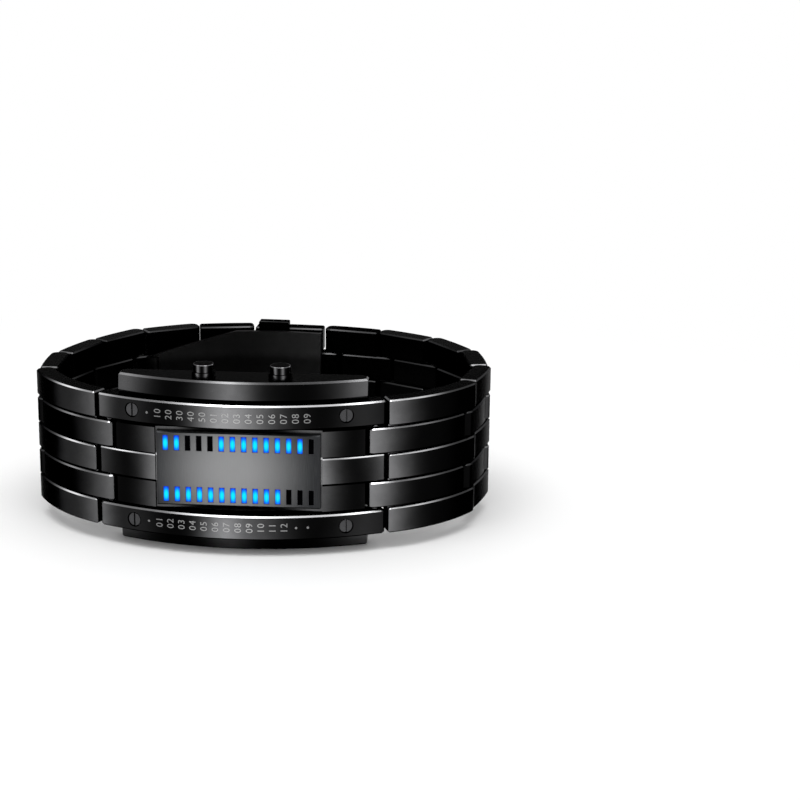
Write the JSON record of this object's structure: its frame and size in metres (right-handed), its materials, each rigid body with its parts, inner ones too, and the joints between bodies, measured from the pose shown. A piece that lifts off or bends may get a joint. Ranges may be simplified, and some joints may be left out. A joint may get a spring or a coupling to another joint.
{
  "type": "wristwatch",
  "caption": "Binary light-display wristwatch on a multi-row steel link bracelet with a fold-over push-button clasp, standing on the long edge of its case.",
  "frame": {"origin": "on the lower fairing's flat outer face, which the watch stands on, under the axes of the two pushers and midway between them", "axes": "+X along the case to the right as seen from the display, +Y from the display through the case back to the clasp, +Z across the band, up, towards the pushers"},
  "size_m": [0.0793, 0.0593, 0.0314],
  "materials": {
    "black_steel": "glossy black plated steel",
    "black_inner": "satin black plated steel",
    "plate_grey": "fine satin grey",
    "light_blue": "clear bar, lit blue",
    "light_dark": "clear bar, unlit",
    "pin_steel": "plain turned steel",
    "spring_steel": "drawn wire",
    "seal_rubber": "matt black",
    "board_green": "solder mask",
    "chip_black": "moulded",
    "frame_plastic": "moulded, natural",
    "cell_steel": "nickel plated",
    "contact_brass": "sprung leaf",
    "back_steel": "brushed, clear plated"
  },
  "bodies": {
    "case": {"case_body": "black_steel", "upper_rail": "black_steel", "lower_rail": "black_steel", "rail_screws": "black_steel", "case_pins": "pin_steel", "display_plate": "plate_grey", "lit_windows": "light_blue", "dark_windows": "light_dark", "light_chips": "chip_black", "light_board": "board_green", "driver_chip": "chip_black", "quartz_can": "pin_steel", "module_frame": "frame_plastic", "coin_cell": "cell_steel", "cell_clip": "spring_steel", "switch_contacts": "contact_brass", "case_back": "back_steel", "back_gasket": "seal_rubber", "back_screws": "back_steel", "pusher_tubes": "black_steel", "pusher_seals": "seal_rubber", "left_pusher_spring": "spring_steel", "right_pusher_spring": "spring_steel"},
    "left_pusher": {"left_pusher": "black_steel", "left_pusher_clip": "spring_steel"},
    "left_link_1": {"left_link_1": "black_steel", "left_pin_1": "pin_steel"},
    "left_link_2": {"left_link_2": "black_steel", "left_pin_2": "pin_steel"},
    "left_link_3": {"left_link_3": "black_steel", "left_pin_3": "pin_steel"},
    "left_link_4": {"left_link_4": "black_steel", "left_pin_4": "pin_steel"},
    "left_link_5": {"left_link_5": "black_steel", "left_pin_5": "pin_steel"},
    "left_link_6": {"left_link_6": "black_steel", "left_pin_6": "pin_steel"},
    "right_pusher": {"right_pusher": "black_steel", "right_pusher_clip": "spring_steel"},
    "right_link_1": {"right_link_1": "black_steel", "right_pin_1": "pin_steel"},
    "right_link_2": {"right_link_2": "black_steel", "right_pin_2": "pin_steel"},
    "right_link_3": {"right_link_3": "black_steel", "right_pin_3": "pin_steel"},
    "right_link_4": {"right_link_4": "black_steel", "right_pin_4": "pin_steel"},
    "right_link_5": {"right_link_5": "black_steel", "right_pin_5": "pin_steel"},
    "right_link_6": {"right_link_6": "black_steel", "right_pin_6": "pin_steel"},
    "fold_arm": {"fold_arm": "black_inner", "fold_pin": "pin_steel"},
    "clasp": {"clasp_blade": "black_inner", "latch_housing": "black_steel", "upper_button_spring": "spring_steel", "lower_button_spring": "spring_steel"},
    "upper_button": {"upper_button": "black_steel"},
    "lower_button": {"lower_button": "black_steel"}
  },
  "joints": [
    {"name": "fold", "type": "hinge", "parent": "fold_arm", "child": "clasp", "pos_m": [-0.02267, 0.04039, 0.01456], "axis": [0, 0, -1], "range_deg": [0, 135]},
    {"name": "left_hinge_1", "type": "hinge", "parent": "case", "child": "left_link_1", "pos_m": [-0.02236, -0.00063, 0.01456], "axis": [0, 0, 1], "range_deg": [0, 17.2]},
    {"name": "right_hinge_1", "type": "hinge", "parent": "case", "child": "right_link_1", "pos_m": [0.02236, -0.00063, 0.01456], "axis": [0, 0, 1], "range_deg": [0, 37.6]},
    {"name": "left_hinge_2", "type": "hinge", "parent": "left_link_1", "child": "left_link_2", "pos_m": [-0.03596, 0.0125, 0.01456], "axis": [0, 0, 1], "range_deg": [0, 41.4]},
    {"name": "right_hinge_2", "type": "hinge", "parent": "right_link_1", "child": "right_link_2", "pos_m": [0.03684, 0.01152, 0.01456], "axis": [0, 0, 1], "range_deg": [0, 8]},
    {"name": "left_hinge_3", "type": "hinge", "parent": "left_link_2", "child": "left_link_3", "pos_m": [-0.03634, 0.02339, 0.01456], "axis": [0, 0, 1], "range_deg": [0, 36.7]},
    {"name": "right_hinge_3", "type": "hinge", "parent": "right_link_2", "child": "right_link_3", "pos_m": [0.03929, 0.02214, 0.01456], "axis": [0, 0, 1], "range_deg": [-1.9, 0]},
    {"name": "left_hinge_4", "type": "hinge", "parent": "left_link_3", "child": "left_link_4", "pos_m": [-0.03243, 0.03357, 0.01456], "axis": [0, 0, 1], "range_deg": [0, 10.4]},
    {"name": "right_hinge_4", "type": "hinge", "parent": "right_link_3", "child": "right_link_4", "pos_m": [0.03721, 0.03284, 0.01456], "axis": [0, 0, 1], "range_deg": [-5.7, 0]},
    {"name": "left_hinge_5", "type": "hinge", "parent": "left_link_4", "child": "left_link_5", "pos_m": [-0.02634, 0.04261, 0.01456], "axis": [0, 0, 1], "range_deg": [-19.6, 0]},
    {"name": "right_hinge_5", "type": "hinge", "parent": "right_link_4", "child": "right_link_5", "pos_m": [0.03081, 0.04166, 0.01456], "axis": [0, 0, 1], "range_deg": [-6.2, 0]},
    {"name": "left_hinge_6", "type": "hinge", "parent": "left_link_5", "child": "left_link_6", "pos_m": [-0.0169, 0.04806, 0.01456], "axis": [0, 0, 1], "range_deg": [-18.2, 0]},
    {"name": "right_hinge_6", "type": "hinge", "parent": "right_link_5", "child": "right_link_6", "pos_m": [0.02137, 0.04711, 0.01456], "axis": [0, 0, 1], "range_deg": [-4.3, 0]},
    {"name": "arm_hinge", "type": "hinge", "parent": "left_link_6", "child": "fold_arm", "pos_m": [-0.0062, 0.05014, 0.01456], "axis": [0, 0, 1], "range_deg": [0, 55]},
    {"name": "left_push", "type": "slide", "parent": "case", "child": "left_pusher", "axis": [0, 0, -1], "range_m": [0, 0.0007], "stiffness_N_per_m": 400, "springref_m": -0.001, "deforming": ["left_pusher_spring"]},
    {"name": "right_push", "type": "slide", "parent": "case", "child": "right_pusher", "axis": [0, 0, -1], "range_m": [0, 0.0007], "stiffness_N_per_m": 400, "springref_m": -0.001, "deforming": ["right_pusher_spring"]},
    {"name": "upper_release", "type": "slide", "parent": "clasp", "child": "upper_button", "axis": [0, 0, -1], "range_m": [0, 0.0008], "stiffness_N_per_m": 400, "springref_m": -0.001, "deforming": ["upper_button_spring"]},
    {"name": "lower_release", "type": "slide", "parent": "clasp", "child": "lower_button", "axis": [0, 0, 1], "range_m": [0, 0.0008], "stiffness_N_per_m": 400, "springref_m": -0.001, "deforming": ["lower_button_spring"]}
  ],
  "couplings": [
    {"joint": "left_hinge_1", "follows": "fold", "ratio": 0.12578},
    {"joint": "right_hinge_1", "follows": "fold", "ratio": 0.27633},
    {"joint": "left_hinge_2", "follows": "fold", "ratio": 0.30469},
    {"joint": "right_hinge_2", "follows": "fold", "ratio": 0.05717},
    {"joint": "left_hinge_3", "follows": "fold", "ratio": 0.26981},
    {"joint": "right_hinge_3", "follows": "fold", "ratio": -0.01225},
    {"joint": "left_hinge_4", "follows": "fold", "ratio": 0.07491},
    {"joint": "right_hinge_4", "follows": "fold", "ratio": -0.04022},
    {"joint": "left_hinge_5", "follows": "fold", "ratio": -0.14359},
    {"joint": "right_hinge_5", "follows": "fold", "ratio": -0.04431},
    {"joint": "left_hinge_6", "follows": "fold", "ratio": -0.13264},
    {"joint": "right_hinge_6", "follows": "fold", "ratio": -0.02998},
    {"joint": "arm_hinge", "follows": "fold", "ratio": 0.4052}
  ]
}
